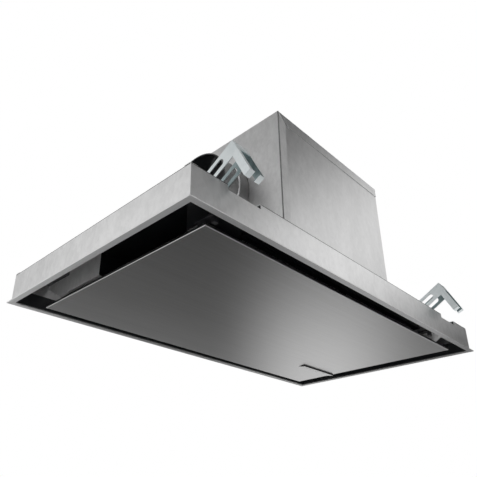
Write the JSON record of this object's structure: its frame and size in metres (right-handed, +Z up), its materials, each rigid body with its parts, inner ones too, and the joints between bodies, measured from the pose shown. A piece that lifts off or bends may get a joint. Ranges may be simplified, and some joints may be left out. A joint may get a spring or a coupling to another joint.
{
  "type": "ceiling range hood",
  "caption": "Recessed ceiling range hood: brushed suction panel in a flanged shallow casing, motor box on top with side duct collar, swing-out ceiling clamps.",
  "frame": {"origin": "centre of the ceiling cut-out, in the plane of the ceiling's lower face, which is the upper face of the flange", "axes": "+X along the hood's long side, +Y towards the side where the suction panel is hinged, +Z up into the ceiling"},
  "size_m": [0.9, 0.5658, 0.312],
  "materials": {
    "stainless": "brushed stainless steel",
    "galvanised_sheet": "galvanised sheet with soft spangle",
    "black_sheet": "satin black paint on sheet steel",
    "black_plastic": "matt black moulding",
    "filter_mesh": "expanded mesh in a folded border",
    "steel_fitting": "bright plated steel",
    "zinc_plate": "blue-white zinc plate",
    "motor_iron": "painted motor can",
    "bush_rubber": "moulded rubber",
    "white_plastic": "smooth white plastic",
    "board_green": "coated circuit board",
    "key_metal": "metal-coloured plastic keys"
  },
  "bodies": {
    "casing": {"rim_frame": "stainless", "wall_left": "galvanised_sheet", "wall_right": "galvanised_sheet", "wall_front": "galvanised_sheet", "wall_back": "galvanised_sheet", "top_plate": "galvanised_sheet", "air_tray": "black_sheet", "air_guide_frame": "black_plastic", "filter_frame": "black_sheet", "grease_filter_left": "filter_mesh", "grease_filter_right": "filter_mesh", "filter_handles": "steel_fitting", "control_box": "galvanised_sheet", "box_left": "galvanised_sheet", "box_right": "galvanised_sheet", "box_front": "galvanised_sheet", "box_back": "galvanised_sheet", "box_cover": "galvanised_sheet", "duct_collar": "black_plastic", "flap_pin": "steel_fitting", "scroll_lower": "black_plastic", "scroll_upper": "black_plastic", "inlet_ring": "steel_fitting", "motor": "motor_iron", "motor_bracket": "steel_fitting", "motor_bushes": "bush_rubber", "capacitor": "white_plastic", "terminal_box": "black_plastic", "terminal_lid": "black_plastic", "cable_gland": "black_plastic", "casing_rivets": "steel_fitting", "box_screws": "steel_fitting", "hinge_brackets": "steel_fitting", "hinge_pins": "steel_fitting", "panel_catches": "black_plastic", "clamp_towers": "zinc_plate", "clamp_screws": "zinc_plate", "clamp_pockets": "black_sheet"},
    "panel": {"suction_panel": "stainless", "panel_stiffener": "black_plastic", "hinge_arms": "steel_fitting", "panel_strikes": "steel_fitting", "control_bar": "stainless", "control_board": "board_green"},
    "key_a": {"key_1": "key_metal"},
    "key_b": {"key_2": "key_metal"},
    "key_c": {"key_3": "key_metal"},
    "key_d": {"key_4": "key_metal"},
    "rotor": {"impeller": "black_plastic", "motor_shaft": "steel_fitting"},
    "flap_n": {"flap_near": "black_plastic"},
    "flap_f": {"flap_far": "black_plastic"},
    "slider_front_left": {"carrier_front_left": "zinc_plate"},
    "swing_front_left": {"clamp_front_left": "zinc_plate"},
    "slider_front_right": {"carrier_front_right": "zinc_plate"},
    "swing_front_right": {"clamp_front_right": "zinc_plate"},
    "slider_back_left": {"carrier_back_left": "zinc_plate"},
    "swing_back_left": {"clamp_back_left": "zinc_plate"},
    "slider_back_right": {"carrier_back_right": "zinc_plate"},
    "swing_back_right": {"clamp_back_right": "zinc_plate"}
  },
  "joints": [
    {"name": "panel_hinge", "type": "hinge", "parent": "casing", "child": "panel", "pos_m": [0, 0.206, 0.012], "axis": [1, 0, 0], "range_deg": [0, 90]},
    {"name": "rotor_spin", "type": "hinge", "parent": "casing", "child": "rotor", "pos_m": [-0.02, -0.015, 0.17], "axis": [0, 0, 1], "continuous": true},
    {"name": "flap_far_swing", "type": "hinge", "parent": "casing", "child": "flap_f", "pos_m": [-0.2445, -0.073, 0.17], "axis": [0, 0, 1], "range_deg": [0, 75], "stiffness_Nm_per_rad": 0.01, "springref_deg": -17.19},
    {"name": "flap_near_swing", "type": "hinge", "parent": "casing", "child": "flap_n", "pos_m": [-0.2445, -0.073, 0.17], "axis": [0, 0, -1], "range_deg": [0, 75], "stiffness_Nm_per_rad": 0.01, "springref_deg": -17.19},
    {"name": "key_a_press", "type": "slide", "parent": "panel", "child": "key_a", "axis": [0, 0, 1], "range_m": [0, 0.001], "stiffness_N_per_m": 400, "springref_m": -0.001},
    {"name": "key_b_press", "type": "slide", "parent": "panel", "child": "key_b", "axis": [0, 0, 1], "range_m": [0, 0.001], "stiffness_N_per_m": 400, "springref_m": -0.001},
    {"name": "key_c_press", "type": "slide", "parent": "panel", "child": "key_c", "axis": [0, 0, 1], "range_m": [0, 0.001], "stiffness_N_per_m": 400, "springref_m": -0.001},
    {"name": "key_d_press", "type": "slide", "parent": "panel", "child": "key_d", "axis": [0, 0, 1], "range_m": [0, 0.001], "stiffness_N_per_m": 400, "springref_m": -0.001},
    {"name": "slide_front_left", "type": "slide", "parent": "casing", "child": "slider_front_left", "axis": [0, 0, -1], "range_m": [0, 0.04]},
    {"name": "fold_front_left", "type": "hinge", "parent": "slider_front_left", "child": "swing_front_left", "pos_m": [-0.359, -0.17673, 0.07191], "axis": [-1, 0, 0], "range_deg": [0, 60]},
    {"name": "slide_front_right", "type": "slide", "parent": "casing", "child": "slider_front_right", "axis": [0, 0, -1], "range_m": [0, 0.04]},
    {"name": "fold_front_right", "type": "hinge", "parent": "slider_front_right", "child": "swing_front_right", "pos_m": [0.323, -0.17673, 0.07191], "axis": [-1, 0, 0], "range_deg": [0, 60]},
    {"name": "slide_back_left", "type": "slide", "parent": "casing", "child": "slider_back_left", "axis": [0, 0, -1], "range_m": [0, 0.04]},
    {"name": "fold_back_left", "type": "hinge", "parent": "slider_back_left", "child": "swing_back_left", "pos_m": [-0.323, 0.17673, 0.07191], "axis": [1, 0, 0], "range_deg": [0, 60]},
    {"name": "slide_back_right", "type": "slide", "parent": "casing", "child": "slider_back_right", "axis": [0, 0, -1], "range_m": [0, 0.04]},
    {"name": "fold_back_right", "type": "hinge", "parent": "slider_back_right", "child": "swing_back_right", "pos_m": [0.359, 0.17673, 0.07191], "axis": [1, 0, 0], "range_deg": [0, 60]}
  ]
}
